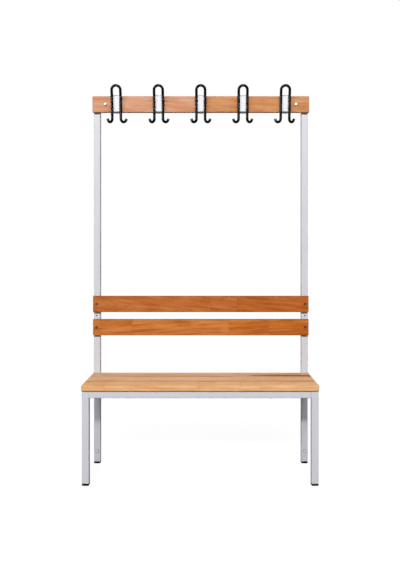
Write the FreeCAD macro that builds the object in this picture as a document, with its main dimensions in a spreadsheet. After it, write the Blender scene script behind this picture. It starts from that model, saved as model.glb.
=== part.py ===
import FreeCAD, Part
import Sketcher
import math
import os
import re

from FreeCAD import Placement, Rotation, Vector

# Changing room bench with a seat, a back rest and a hook board on a frame of square tube.
# The frame's origin is on the floor, in the middle of the bench: X to the right, -Y to the front,
# +Z up. Lengths are millimetres and angles are degrees.

# Driving sizes, each written once and kept in the sheet under the same name.
SIZES = {
    # Frame of welded square tube
    "tube_side": 30,
    "tube_wall": 1.5,
    "tube_corner": 3,
    "frame_width": 998,
    "frame_depth": 350,
    "seat_frame_top": 400,
    "upright_top": 1700,
    # Plastic feet and caps pushed into the tube ends
    "foot_height": 10,
    "cap_thick": 4,
    "cap_round": 2,
    "insert_length": 22,
    "insert_gap": 0.1,
    "insert_fin_height": 2.2,
    "insert_fin_thick": 1.6,
    "insert_fin_start": 3,
    "insert_fin_spread": 15,
    # Seat slats
    "seat_end_overhang": 1,
    "seat_overhang": 10,
    "seat_rear_gap": 2,
    "seat_slat_gap": 10,
    "seat_slat_thick": 25,
    "seat_slat_round": 5,
    # Back slats
    "back_slat_end_overhang": 1,
    "back_slat_width": 75,
    "back_slat_thick": 20,
    "back_slat_round": 3,
    "back_slat_rise": 175,
    "back_slat_gap": 33,
    # Hook board
    "board_end_overhang": 3.5,
    "board_width": 75,
    "board_thick": 20,
    "board_round": 2.5,
    "board_rise": 10,
    "end_chamfer": 1.2,
    # Angle brackets that carry the hook board
    "bracket_reach": 41,
    "bracket_depth": 27,
    "bracket_height": 40,
    "bracket_thick": 3,
    "bracket_bend": 2,
    "board_bolt_inset": 25.5,
    # Dome-head bolts, washers and nuts of the hook board
    "bolt_dia": 8,
    "bolt_head_dia": 20,
    "bolt_head_rise": 5,
    "bolt_neck_length": 4,
    "bolt_end_spare": 3,
    "washer_dia": 16,
    "washer_thick": 1.6,
    "nut_flats": 13,
    "nut_thick": 6.5,
    "bolt_hole_gap": 0.25,
    # Screws and flush rivet nuts of the back slats
    "back_screw_dia": 6,
    "back_screw_length": 24,
    "back_screw_head_dia": 10.5,
    "back_screw_head_rise": 3.5,
    "back_screw_sink": 6,
    "back_screw_sink_gap": 0.75,
    "rivet_nut_dia": 9,
    "rivet_nut_length": 13,
    "rivet_nut_collar_dia": 11.5,
    "rivet_nut_collar_length": 4,
    "thread_gap": 0.05,
    # Wood screws that come up through the rails into the seat slats
    "seat_screw_dia": 5,
    "seat_screw_bite": 18,
    "seat_screw_head_dia": 10,
    "seat_screw_head_rise": 3,
    "seat_screw_spread": 26,
    "front_screw_inset": 169,
    "screw_hole_gap": 0.25,
    # Wire hooks
    "hook_bolt_gap": 53.5,
    "wire_dia": 12.5,
    "hook_spread": 40,
    "hook_lean": 8.3,
    "loop_lean": 18,
    "loop_rise": 23,
    "loop_bend_radius": 40,
    "prong_drop": 31,
    "prong_radius": 14.5,
    "prong_turn": 157,
    "prong_yaw": 38,
    "weld_gap": 0.1,
    # Sheet clips folded round the hook board
    "clip_width": 44,
    "clip_thick": 2,
    "clip_return": 18,
    "clip_bend": 1.5,
    "clip_gap": 0.15,
    # Small screws of the clips
    "clip_screw_dia": 4,
    "clip_screw_bite": 14,
    "clip_screw_head_dia": 7.5,
    "clip_screw_head_rise": 2.4,
    # Wall fixing holes of the uprights, and the caps of their lower access holes
    "wall_hole_height": 59,
    "wall_hole_dia": 8.5,
    "access_hole_dia": 14,
    "plug_rim": 1.25,
    "plug_head_rise": 1.8,
    "plug_head_round": 1.2,
    "plug_stem_length": 7,
    "plug_gap": 0.1,
}

HOOK_COUNT = 5
INSERT_FIN_COUNT = 3
SEAT_SLATS = ("front", "middle", "rear")
# Rounding of a screw's head and of a prong's tip, as shares of the head's rise and wire's radius
HEAD_ROUND_SHARE = 0.6
TIP_ROUND_SHARE = 0.85
# How far an edge may lie off the plane that it is looked for in, as a share of the tube's wall
EDGE_SLACK_SHARE = 0.03

# Places that follow from the driving sizes.
PLACES = {
    "post_x": "(frame_width - tube_side) / 2",
    "post_inner_x": "post_x - tube_side / 2",
    "rear_face": "(frame_depth + seat_overhang) / 2",
    "post_y": "rear_face - tube_side / 2",
    "post_face": "rear_face - tube_side",
    "leg_y": "rear_face - frame_depth + tube_side / 2",
    "leg_back": "leg_y + tube_side / 2",
    "rail_z": "seat_frame_top - tube_side / 2",
    "tube_bore": "tube_side - 2 * tube_wall",
    "front_screw_x": "post_inner_x - front_screw_inset",
    "seat_front": "-rear_face",
    "seat_length": "frame_width + 2 * seat_end_overhang",
    "seat_depth": "post_face - seat_rear_gap - seat_front",
    "slat_pitch": f"(seat_depth + seat_slat_gap) / {len(SEAT_SLATS)}",
    "seat_slat_width": "slat_pitch - seat_slat_gap",
    "seat_slat_front_y": "seat_front + seat_slat_width / 2",
    "seat_slat_middle_y": "seat_slat_front_y + slat_pitch",
    "seat_slat_rear_y": "seat_slat_middle_y + slat_pitch",
    "back_slat_length": "frame_width + 2 * back_slat_end_overhang",
    "back_lower_z": "seat_frame_top + seat_slat_thick + back_slat_rise",
    "back_upper_z": "back_lower_z + back_slat_width + back_slat_gap",
    "wall_hole_upper": "back_upper_z - back_slat_gap / 2",
    "board_length": "frame_width + 2 * board_end_overhang",
    "board_face": "post_face - board_thick",
    "board_bottom": "upright_top + board_rise - board_width",
    "board_bolt_x": "post_inner_x - board_bolt_inset",
    "board_bolt_z": "board_bottom + board_width / 2",
    "bolt_hole_dia": "bolt_dia + 2 * bolt_hole_gap",
    "bolt_length": "board_thick + bracket_thick + washer_thick + nut_thick + bolt_end_spare",
    "hook_pitch": f"2 * (board_bolt_x - hook_bolt_gap) / {HOOK_COUNT - 1}",
    "clip_height": "board_width + 2 * clip_gap",
    "plug_head_dia": "access_hole_dia + 2 * plug_rim",
}

SIDES = {"left": "-1", "right": "1"}
UP = Vector(0, 0, 1)
ALONG_Y = Rotation(Vector(1, 0, 0), -90)
ALONG_X = Rotation(UP, -90) * ALONG_Y
TO_FRONT = Rotation(Vector(1, 0, 0), 90)
UPSIDE_DOWN = Rotation(Vector(1, 0, 0), 180)

doc = FreeCAD.newDocument("ChangingRoomBench")
sheet = doc.addObject("Spreadsheet::Sheet", "Sizes")
for row, (alias, value) in enumerate(SIZES.items(), start=1):
    sheet.set(f"A{row}", alias)
    sheet.set(f"B{row}", str(value))
    sheet.setAlias(f"B{row}", alias)
doc.recompute()

nodes = {}
cuts = []


def formula(text):
    """Writes the names of SIZES and PLACES out in full, as the sheet's expressions need them."""

    def write_out(match):
        name = match.group()
        if name in PLACES:
            return f"({formula(PLACES[name])})"
        return f"Sizes.{name}" if name in SIZES else name

    return re.sub(r"[a-z]\w*", write_out, text)


def number(text):
    """Gives the present value of a formula."""
    return float(sheet.evalExpression(formula(text)))


def bind(item, path, text):
    """Keeps a property of an object equal to a formula."""
    item.setExpression(path, formula(text))


def place(item, x="0", y="0", z="0", turn=Rotation()):
    """Turns an object and holds its origin at a place worked out from the sheet."""
    item.Placement = Placement(Vector(), turn)
    for axis, text in zip("xyz", (x, y, z)):
        bind(item, f"Placement.Base.{axis}", text)


def as_node(item, name):
    """Marks an object as a finished piece under its own name."""
    item.Label = name
    nodes[name] = item
    return item


# Sketch helpers: every point and radius that they draw is held by a bound constraint.
def sketch_on(body, role, lift="0"):
    sketch = body.newObject("Sketcher::SketchObject", f"{body.Name}Sketch")
    plane = next(item for item in body.Origin.OriginFeatures if item.Role == role)
    sketch.AttachmentSupport = [(plane, "")]
    sketch.MapMode = "FlatFace"
    bind(sketch, "AttachmentOffset.Base.z", lift)
    return sketch


def hold(sketch, kind, parts, text):
    index = sketch.addConstraint(Sketcher.Constraint(kind, *parts, number(text)))
    bind(sketch, f"Constraints[{index}]", text)


def pin(sketch, item, point, across, up):
    """Holds one point of the sketch at (across, up) from the sketch's origin."""
    for kind, axis, text in (("DistanceX", -2, across), ("DistanceY", -1, up)):
        if math.isclose(number(text), 0, abs_tol=Part.Precision.confusion()):
            sketch.addConstraint(Sketcher.Constraint("PointOnObject", item, point, axis))
        elif number(text) > 0:
            hold(sketch, kind, (-1, 1, item, point), text)
        else:
            hold(sketch, kind, (item, point, -1, 1), f"-({text})")


def spot(across, up):
    return Vector(number(across), number(up), 0)


def draw_circle(sketch, across, up, diameter):
    circle = Part.Circle(spot(across, up), UP, number(diameter) / 2)
    item = sketch.addGeometry(circle)
    hold(sketch, "Diameter", (item,), diameter)
    pin(sketch, item, 3, across, up)


def draw_outline(sketch, corners):
    """Closes an outline of straight lines through the corners."""
    first = sketch.GeometryCount
    points = [spot(*corner) for corner in corners]
    for start, end in zip(points, points[1:] + points[:1]):
        sketch.addGeometry(Part.LineSegment(start, end))
    for index, corner in enumerate(corners):
        before = first + (index - 1) % len(corners)
        sketch.addConstraint(Sketcher.Constraint("Coincident", before, 2, first + index, 1))
        pin(sketch, first + index, 1, *corner)


def draw_rounded_rectangle(sketch, wide, high, corner, across="0", up="0"):
    """Draws a rectangle with round corners about the point (across, up)."""
    first = sketch.GeometryCount
    reach = f"(({wide}) / 2 - ({corner}))"
    rise = f"(({high}) / 2 - ({corner}))"
    for quarter, (side, end) in enumerate((("", ""), ("-", ""), ("-", "-"), ("", "-"))):
        middle = (f"({across}) + ({side}{reach})", f"({up}) + ({end}{rise})")
        circle = Part.Circle(spot(*middle), UP, number(corner))
        turn = quarter * math.pi / 2
        item = sketch.addGeometry(Part.ArcOfCircle(circle, turn, turn + math.pi / 2))
        hold(sketch, "Radius", (item,), corner)
        pin(sketch, item, 3, *middle)
    for quarter in range(4):
        arc = first + quarter
        following = first + (quarter + 1) % 4
        ends = sketch.Geometry[arc].EndPoint, sketch.Geometry[following].StartPoint
        line = sketch.addGeometry(Part.LineSegment(*ends))
        sketch.addConstraint(Sketcher.Constraint("Tangent", arc, 2, line, 1))
        sketch.addConstraint(Sketcher.Constraint("Tangent", line, 2, following, 1))


# Feature helpers
def add_feature(body, kind, profile):
    feature = body.newObject(f"PartDesign::{kind}", f"{body.Name}{kind}")
    feature.Profile = profile
    return feature


def pad(body, profile, length, centred=False, backward=False):
    """Raises a profile along its own normal, backward, or to both sides alike."""
    feature = add_feature(body, "Pad", profile)
    feature.SideType = "Symmetric" if centred else "One side"
    feature.Reversed = backward
    bind(feature, "Length", length)
    return feature


def cut(body, profile, onward, depth=None):
    """Cuts a profile along its normal if onward, else against it, to a depth or right through."""
    feature = add_feature(body, "Pocket", profile)
    feature.Type = "ThroughAll" if depth is None else "Length"
    feature.Reversed = onward
    if depth is not None:
        bind(feature, "Length", depth)
    cuts.append(feature)
    return feature


def revolve(body, profile):
    feature = add_feature(body, "Revolution", profile)
    feature.ReferenceAxis = (profile, ["V_Axis"])
    return feature


def dress(body, kind, path, text, choose):
    """Adds a Fillet or a Chamfer to the edges of the body's tip that the test picks out."""
    doc.recompute()
    base = body.Tip
    chosen = [f"Edge{i}" for i, edge in enumerate(base.Shape.Edges, start=1) if choose(edge)]
    feature = body.newObject(f"PartDesign::{kind}", f"{body.Name}{kind}")
    feature.Base = (base, chosen)
    bind(feature, path, text)
    return feature


def level_at(edge, axis, text):
    """Tells whether an edge lies wholly in the plane where one coordinate has a value."""
    low = getattr(edge.BoundBox, f"{axis}Min")
    high = getattr(edge.BoundBox, f"{axis}Max")
    slack = number("tube_wall") * EDGE_SLACK_SHARE
    return abs(low - number(text)) < slack and abs(high - number(text)) < slack


# Square tubes: the section is on the local XY plane and the tube runs along local Z.
def square_tube(name, length, drillings=()):
    """Builds one tube. A drilling is (wall, height along the tube, diameter)."""
    body = doc.addObject("PartDesign::Body", name)
    section = sketch_on(body, "XY_Plane")
    draw_rounded_rectangle(section, "tube_side", "tube_side", "tube_corner")
    draw_rounded_rectangle(section, "tube_bore", "tube_bore", "tube_corner - tube_wall")
    pad(body, section, length)
    for wall in ("front", "rear"):
        holes = [(height, dia) for where, height, dia in drillings if where == wall]
        if not holes:
            continue
        drilled = sketch_on(body, "XZ_Plane")
        for height, dia in holes:
            draw_circle(drilled, "0", height, dia)
        cut(body, drilled, onward=wall == "front")
    return as_node(body, name)


def front_leg(side, sign):
    leg = square_tube(f"front_leg_{side}", "seat_frame_top - foot_height")
    place(leg, f"{sign} * post_x", "leg_y", "foot_height")


def upright(side, sign):
    """A rear tube from the floor to the hook board, drilled for the back slats and the wall."""
    rivet_hole = "rivet_nut_dia + 2 * screw_hole_gap"
    drillings = [
        ("front", "back_lower_z + back_slat_width / 2 - foot_height", rivet_hole),
        ("front", "back_upper_z + back_slat_width / 2 - foot_height", rivet_hole),
        ("front", "wall_hole_height - foot_height", "access_hole_dia"),
        ("front", "wall_hole_upper - foot_height", "wall_hole_dia"),
        ("rear", "wall_hole_height - foot_height", "wall_hole_dia"),
        ("rear", "wall_hole_upper - foot_height", "wall_hole_dia"),
    ]
    tube = square_tube(f"upright_{side}", "upright_top - foot_height", drillings)
    place(tube, f"{sign} * post_x", "post_y", "foot_height")


def through(height):
    """A hole for a seat screw in both walls of a rail."""
    dia = "seat_screw_dia + 2 * screw_hole_gap"
    return [("front", height, dia), ("rear", height, dia)]


def side_rail(side, sign):
    drillings = []
    for x, y in SEAT_SCREWS["front"] + SEAT_SCREWS["middle"] + SEAT_SCREWS["rear"]:
        if x == f"{sign} * post_x":
            drillings += through(f"{y} - leg_back")
    rail = square_tube(f"side_rail_{side}", "post_face - leg_back", drillings)
    place(rail, f"{sign} * post_x", "leg_back", "rail_z", ALONG_Y)


def cross_rail(name, y, screws):
    drillings = []
    for x, _ in screws:
        drillings += through(f"{x} + post_inner_x")
    rail = square_tube(name, "2 * post_inner_x", drillings)
    place(rail, "-post_inner_x", y, "rail_z", ALONG_X)


def seat_screw_places():
    """Gives each slat's screws as (x, y): at its ends in the side rails, in front in the rail."""
    ends = [f"{sign} * post_x" for sign in SIDES.values()]
    middles = [f"{sign} * front_screw_x" for sign in SIDES.values()]
    chosen = {"front": [(x, "(seat_slat_front_y + seat_screw_spread)") for x in ends]}
    chosen["front"] += [(x, "leg_y") for x in middles]
    for slat in ("middle", "rear"):
        chosen[slat] = [
            (x, f"(seat_slat_{slat}_y {way} seat_screw_spread)") for x in ends for way in "-+"
        ]
    return chosen


SEAT_SCREWS = seat_screw_places()


# Wooden slats
def seat_slat(slat):
    """A slat that lies on the rails, with its underside on the local XY plane."""
    body = doc.addObject("PartDesign::Body", f"seat_slat_{slat}")
    section = sketch_on(body, "YZ_Plane")
    draw_rounded_rectangle(
        section, "seat_slat_width", "seat_slat_thick", "seat_slat_round", up="seat_slat_thick / 2"
    )
    pad(body, section, "seat_length", centred=True)
    pilots = sketch_on(body, "XY_Plane")
    for x, y in SEAT_SCREWS[slat]:
        draw_circle(pilots, x, f"{y} - seat_slat_{slat}_y", "seat_screw_dia + 2 * thread_gap")
    cut(body, pilots, onward=True, depth="seat_screw_bite + thread_gap")
    round_ends(body, "seat_length / 2")
    place(body, "0", f"seat_slat_{slat}_y", "seat_frame_top")
    as_node(body, body.Label)


def round_ends(body, end):
    """Breaks the sharp edges round both end faces of a slat."""
    dress(
        body, "Chamfer", "Size", "end_chamfer",
        lambda edge: level_at(edge, "X", end) or level_at(edge, "X", f"-({end})"),
    )


def upright_slat(name, length, width, thick, corner):
    """A slat that stands on edge: its rear face is on the local XZ plane and it rises from z 0."""
    body = doc.addObject("PartDesign::Body", name)
    section = sketch_on(body, "YZ_Plane")
    draw_rounded_rectangle(section, thick, width, corner, f"-{thick} / 2", f"{width} / 2")
    pad(body, section, length, centred=True)
    return body


def back_slat(name, height):
    body = upright_slat(
        name, "back_slat_length", "back_slat_width", "back_slat_thick", "back_slat_round"
    )
    shanks = sketch_on(body, "XZ_Plane")
    heads = sketch_on(body, "XZ_Plane", "back_slat_thick - back_screw_sink")
    for sign in SIDES.values():
        middle = f"{sign} * post_x", "back_slat_width / 2"
        draw_circle(shanks, *middle, "back_screw_dia + 2 * screw_hole_gap")
        draw_circle(heads, *middle, "back_screw_head_dia + 2 * back_screw_sink_gap")
    cut(body, shanks, onward=True)
    cut(body, heads, onward=True)
    round_ends(body, "back_slat_length / 2")
    place(body, "0", "post_face", height)
    as_node(body, name)


def hook_x(number_from_left):
    return f"({number_from_left} - {(HOOK_COUNT + 1) / 2}) * hook_pitch"


def hook_board():
    body = upright_slat(
        "hook_board", "board_length", "board_width", "board_thick", "board_round"
    )
    holes = sketch_on(body, "XZ_Plane")
    necks = sketch_on(body, "XZ_Plane", "board_thick - bolt_neck_length - bolt_hole_gap")
    neck_half = "(bolt_dia / 2 + bolt_hole_gap)"
    for sign in SIDES.values():
        middle = f"{sign} * board_bolt_x"
        draw_circle(holes, middle, "board_width / 2", "bolt_hole_dia")
        draw_outline(necks, [
            (f"{middle} {side} {neck_half}", f"board_width / 2 {end} {neck_half}")
            for side, end in ("--", "+-", "++", "-+")
        ])
    cut(body, holes, onward=True)
    cut(body, necks, onward=True)
    for lift, onward in (("0", True), ("board_width", False)):
        pilots = sketch_on(body, "XY_Plane", lift)
        for index in range(1, HOOK_COUNT + 1):
            draw_circle(pilots, hook_x(index), "-board_thick / 2", "clip_screw_dia + 2 * thread_gap")
        cut(body, pilots, onward, "clip_screw_bite + thread_gap")
    round_ends(body, "board_length / 2")
    place(body, "0", "post_face", "board_bottom")
    as_node(body, "hook_board")


def board_bracket(side, sign):
    """A folded angle: one leaf is welded to the upright's inner side, the other holds the board."""
    body = doc.addObject("PartDesign::Body", f"board_bracket_{side}")
    section = sketch_on(body, "XY_Plane")
    draw_outline(section, [
        (f"{sign} * {x}", y) for x, y in (
            ("0", "0"),
            ("-bracket_reach", "0"),
            ("-bracket_reach", "bracket_thick"),
            ("-bracket_thick", "bracket_thick"),
            ("-bracket_thick", "bracket_depth"),
            ("0", "bracket_depth"),
        )
    ])
    pad(body, section, "bracket_height", centred=True)
    for inset, radius in (("0", "bracket_bend + bracket_thick"), ("bracket_thick", "bracket_bend")):
        dress(
            body, "Fillet", "Radius", radius,
            lambda edge: level_at(edge, "X", f"-{sign} * {inset}") and level_at(edge, "Y", inset),
        )
    hole = sketch_on(body, "XZ_Plane")
    draw_circle(hole, f"-{sign} * board_bolt_inset", "0", "bolt_hole_dia")
    cut(body, hole, onward=False)
    place(body, f"{sign} * post_inner_x", "post_face", "board_bolt_z")
    as_node(body, f"board_bracket_{side}")


# Plastic inserts: the tube's end is on the local XY plane and the finned stem points along +Z.
def tube_insert(name, plate, edge_kind, edge_path, edge_size):
    body = doc.addObject("PartDesign::Body", name)
    head = sketch_on(body, "XY_Plane")
    draw_rounded_rectangle(head, "tube_side", "tube_side", "tube_corner")
    pad(body, head, plate, backward=True)
    dress(body, edge_kind, edge_path, edge_size, lambda edge: level_at(edge, "Z", f"-{plate}"))
    fin = "tube_bore - 2 * insert_gap"
    fin_corner = "tube_corner - tube_wall"
    core = sketch_on(body, "XY_Plane")
    core_side = f"{fin} - 2 * insert_fin_height"
    draw_rounded_rectangle(core, core_side, core_side, fin_corner)
    pad(body, core, "insert_length")
    ring = sketch_on(body, "XY_Plane", "insert_fin_start")
    draw_rounded_rectangle(ring, fin, fin, fin_corner)
    fins = pad(body, ring, "insert_fin_thick")
    doc.recompute()
    row = body.newObject("PartDesign::LinearPattern", f"{name}Row")
    row.Originals = [fins]
    row.Direction = (next(o for o in body.Origin.OriginFeatures if o.Role == "Z_Axis"), [""])
    row.Occurrences = INSERT_FIN_COUNT
    bind(row, "Length", "insert_fin_spread")
    body.Tip = row
    return as_node(body, name)


def foot(name, x, y):
    insert = tube_insert(name, "foot_height", "Chamfer", "Size", "tube_corner")
    place(insert, x, y, "foot_height")


def upright_cap(side, sign):
    insert = tube_insert(f"upright_cap_{side}", "cap_thick", "Fillet", "Radius", "cap_round")
    place(insert, f"{sign} * post_x", "post_y", "upright_top", UPSIDE_DOWN)


# Fasteners: one of each kind is made about the local Z axis and then set at all its places.
def repeat(name, master, spots, turn=Rotation()):
    """Makes one node of separate solids, a copy of the master at each of the places."""
    copies = []
    for x, y, z in spots:
        copy = doc.addObject("App::Link", f"{name}Copy")
        copy.LinkedObject = master
        place(copy, x, y, z, turn)
        copies.append(copy)
    group = doc.addObject("Part::Compound", name)
    group.Links = copies
    return as_node(group, name)


def screw(name, dia, head_dia, head_rise, length):
    """A screw with a rounded pan head that sits on z 0; the shank points down."""
    body = doc.addObject("PartDesign::Body", name)
    half = sketch_on(body, "XZ_Plane")
    draw_outline(half, [
        ("0", head_rise),
        (f"{head_dia} / 2", head_rise),
        (f"{head_dia} / 2", "0"),
        (f"{dia} / 2", "0"),
        (f"{dia} / 2", f"-({length})"),
        ("0", f"-({length})"),
    ])
    revolve(body, half)
    dress(
        body, "Fillet", "Radius", f"{head_rise} * {HEAD_ROUND_SHARE}",
        lambda edge: level_at(edge, "Z", head_rise),
    )
    return body


def board_bolt_master():
    """A dome-head bolt: dome above z 0, square neck and shank below."""
    body = doc.addObject("PartDesign::Body", "board_bolt_master")
    dome = sketch_on(body, "XZ_Plane")
    sphere = "((bolt_head_dia ^ 2 / 4 + bolt_head_rise ^ 2) / (2 * bolt_head_rise))"
    middle = spot("0", f"bolt_head_rise - {sphere}")
    rim = spot("bolt_head_dia / 2", "0")
    top = spot("0", "bolt_head_rise")
    rim_angle = math.atan2(rim.y - middle.y, rim.x - middle.x)
    circle = Part.Circle(middle, UP, number(sphere))
    arc = dome.addGeometry(Part.ArcOfCircle(circle, rim_angle, math.pi / 2))
    axis = dome.addGeometry(Part.LineSegment(top, Vector()))
    base = dome.addGeometry(Part.LineSegment(Vector(), rim))
    for first, second in ((arc, axis), (axis, base)):
        dome.addConstraint(Sketcher.Constraint("Coincident", first, 2, second, 1))
    dome.addConstraint(Sketcher.Constraint("Coincident", base, 2, arc, 1))
    dome.addConstraint(Sketcher.Constraint("PointOnObject", arc, 3, -2))
    pin(dome, axis, 1, "0", "bolt_head_rise")
    pin(dome, base, 1, "0", "0")
    pin(dome, base, 2, "bolt_head_dia / 2", "0")
    revolve(body, dome)
    neck = sketch_on(body, "XY_Plane")
    half = "bolt_dia / 2"
    draw_outline(neck, [
        (f"{side}{half}", f"{end}{half}") for side, end in (("-", "-"), ("", "-"), ("", ""), ("-", ""))
    ])
    pad(body, neck, "bolt_neck_length", backward=True)
    shank = sketch_on(body, "XY_Plane")
    draw_circle(shank, "0", "0", "bolt_dia")
    pad(body, shank, "bolt_length", backward=True)
    return body


def ring_master(name, outline, thick):
    """A washer or a nut: its outline is drawn by the caller and its bore clears the bolt."""
    body = doc.addObject("PartDesign::Body", name)
    section = sketch_on(body, "XY_Plane")
    outline(section)
    draw_circle(section, "0", "0", "bolt_dia + 2 * thread_gap")
    pad(body, section, thick, backward=True)
    return body


def draw_washer(section):
    draw_circle(section, "0", "0", "washer_dia")


def draw_hexagon(section):
    draw_outline(section, [
        (f"nut_flats / sqrt(3) * cos({60 * corner})", f"nut_flats / sqrt(3) * sin({60 * corner})")
        for corner in range(6)
    ])


def board_fixings():
    """A bolt to each bracket, with its head on the board's face and its nut behind the bracket."""
    washer = ring_master("washer_master", draw_washer, "washer_thick")
    nut = ring_master("nut_master", draw_hexagon, "nut_thick")
    layers = (
        ("board_bolts", board_bolt_master(), "board_face"),
        ("board_washers", washer, "post_face + bracket_thick"),
        ("board_nuts", nut, "post_face + bracket_thick + washer_thick"),
    )
    for name, master, y in layers:
        spots = [(f"{sign} * board_bolt_x", y, "board_bolt_z") for sign in SIDES.values()]
        repeat(name, master, spots, TO_FRONT)


def rivet_nut_master():
    """A threaded bush, level with the tube's face at z 0 and crimped behind its wall."""
    body = doc.addObject("PartDesign::Body", "rivet_nut_master")
    half = sketch_on(body, "XZ_Plane")
    bore = "back_screw_dia / 2 + thread_gap"
    barrel = "rivet_nut_dia / 2"
    collar = "rivet_nut_collar_dia / 2"
    collar_top = "-(tube_wall + thread_gap)"
    collar_end = "-(tube_wall + thread_gap + rivet_nut_collar_length)"
    draw_outline(half, [
        (bore, "0"),
        (barrel, "0"),
        (barrel, collar_top),
        (collar, collar_top),
        (collar, collar_end),
        (barrel, collar_end),
        (barrel, "-rivet_nut_length"),
        (bore, "-rivet_nut_length"),
    ])
    revolve(body, half)
    return body


def back_slat_fixings():
    heights = ("back_lower_z + back_slat_width / 2", "back_upper_z + back_slat_width / 2")
    columns = [(f"{sign} * post_x", z) for sign in SIDES.values() for z in heights]
    seat = "post_face - back_slat_thick + back_screw_sink"
    master = screw(
        "back_screw_master", "back_screw_dia", "back_screw_head_dia", "back_screw_head_rise",
        "back_screw_length",
    )
    repeat("back_slat_screws", master, [(x, seat, z) for x, z in columns], TO_FRONT)
    bush = rivet_nut_master()
    repeat("rivet_nuts", bush, [(x, "post_face", z) for x, z in columns], TO_FRONT)


def seat_screws():
    """Pan-head wood screws whose heads bear on the undersides of the rails."""
    master = screw(
        "seat_screw_master", "seat_screw_dia", "seat_screw_head_dia", "seat_screw_head_rise",
        "tube_side + seat_screw_bite",
    )
    spots = [
        (x, y, "seat_frame_top - tube_side") for slat in SEAT_SCREWS.values() for x, y in slat
    ]
    repeat("seat_screws", master, spots, UPSIDE_DOWN)


def wall_hole_plugs():
    """Press-in caps over the access holes low on the uprights."""
    body = doc.addObject("PartDesign::Body", "plug_master")
    half = sketch_on(body, "XZ_Plane")
    stem = "access_hole_dia / 2 - plug_gap"
    draw_outline(half, [
        ("0", "plug_head_rise"),
        ("plug_head_dia / 2", "plug_head_rise"),
        ("plug_head_dia / 2", "0"),
        (stem, "0"),
        (stem, "-plug_stem_length"),
        ("0", "-plug_stem_length"),
    ])
    revolve(body, half)
    dress(
        body, "Fillet", "Radius", "plug_head_round",
        lambda edge: level_at(edge, "Z", "plug_head_rise"),
    )
    spots = [(f"{sign} * post_x", "post_face", "wall_hole_height") for sign in SIDES.values()]
    repeat("wall_hole_plugs", body, spots, TO_FRONT)


# Hooks: one bent wire each, welded to a clip that is folded round the board. Their local origin
# is at the lower front edge of the board, in the middle of the hook.
def run(start, heading, length):
    """A straight length of wire: gives the edge, its end and the heading there."""
    end = start + heading * length
    return Part.LineSegment(start, end).toShape(), end, heading


def bend(start, heading, toward, radius, degrees):
    """A bend of the wire towards a side: gives the edge, its end and the heading there."""
    turn = math.radians(degrees)
    side = Vector(toward) - heading * toward.dot(heading)
    side.normalize()

    def at(angle):
        return start + heading * (radius * math.sin(angle)) + side * (radius * (1 - math.cos(angle)))

    edge = Part.Arc(start, at(turn / 2), at(turn)).toShape()
    return edge, at(turn), heading * math.cos(turn) + side * math.sin(turn)


def hook_centre_line():
    """The centre line of the wire: right half from the board's underside up and down, mirrored."""
    radius = number("wire_dia") / 2
    lean = math.radians(number("hook_lean"))
    loop_lean = math.radians(number("loop_lean"))
    spread = number("hook_spread") / 2
    loop_bend = number("loop_bend_radius")
    loop_turn = number("loop_lean - hook_lean")
    yaw = math.radians(number("prong_yaw"))
    bend_reach = loop_bend * math.tan(math.radians(loop_turn) / 2)
    plate = number("clip_gap") + number("clip_thick") / math.cos(lean)
    wire_back = (radius + number("weld_gap")) / math.cos(lean)
    foot_point = Vector(spread, -plate - wire_back, 0)
    up = Vector(0, -math.sin(lean), math.cos(lean))

    rising = []
    at_board = number("board_width") / math.cos(lean) - bend_reach
    edge, end, heading = run(foot_point, up, at_board)
    rising.append(edge)
    edge, end, heading = bend(end, heading, Vector(0, -1, 0), loop_bend, loop_turn)
    rising.append(edge)
    edge, end, heading = run(end, heading, number("loop_rise") / math.cos(loop_lean) - bend_reach)
    rising.append(edge)
    edge, end, heading = bend(end, heading, Vector(-1, 0, 0), spread, 90)
    rising.append(edge)

    falling = []
    edge, end, heading = run(foot_point, up * -1, number("prong_drop") / math.cos(lean))
    falling.append(edge)
    aside = Vector(math.cos(yaw), math.sin(yaw), 0)
    turn = number("prong_turn")
    edge, end, heading = bend(end, heading, aside, number("prong_radius"), turn)
    falling.append(edge)
    edge, end, heading = run(end, heading, radius)
    falling.append(edge)

    right = rising + falling
    left = [edge.mirror(Vector(), Vector(1, 0, 0)) for edge in right]
    return Part.Wire(Part.__sortEdges__(right + left))


def hook_shape():
    """The wire as a solid, with a rounded tip on each prong."""
    path = hook_centre_line()
    radius = number("wire_dia") / 2
    first = path.OrderedEdges[0]
    start = path.OrderedVertexes[0].Point
    ends = (first.FirstParameter, first.LastParameter)
    nearest = min(ends, key=lambda where: first.valueAt(where).distanceToPoint(start))
    ring = Part.Wire(Part.makeCircle(radius, start, first.tangentAt(nearest)))
    wire = path.makePipeShell([ring], True, False)
    expected = math.pi * radius ** 2 * path.Length
    print(f"wire hook: {path.Length:.1f} mm of wire, volume over section times length "
          f"{wire.Volume / expected:.4f}")
    tips = [
        edge for face in wire.Faces if isinstance(face.Surface, Part.Plane) for edge in face.Edges
    ]
    return wire.makeFillet(radius * TIP_ROUND_SHARE, tips)


def wire_hook(index, shape):
    feature = doc.addObject("Part::Feature", f"wire_hook_{index}")
    feature.Shape = shape
    place(feature, hook_x(index), "board_face", "board_bottom")
    as_node(feature, f"wire_hook_{index}")


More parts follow.
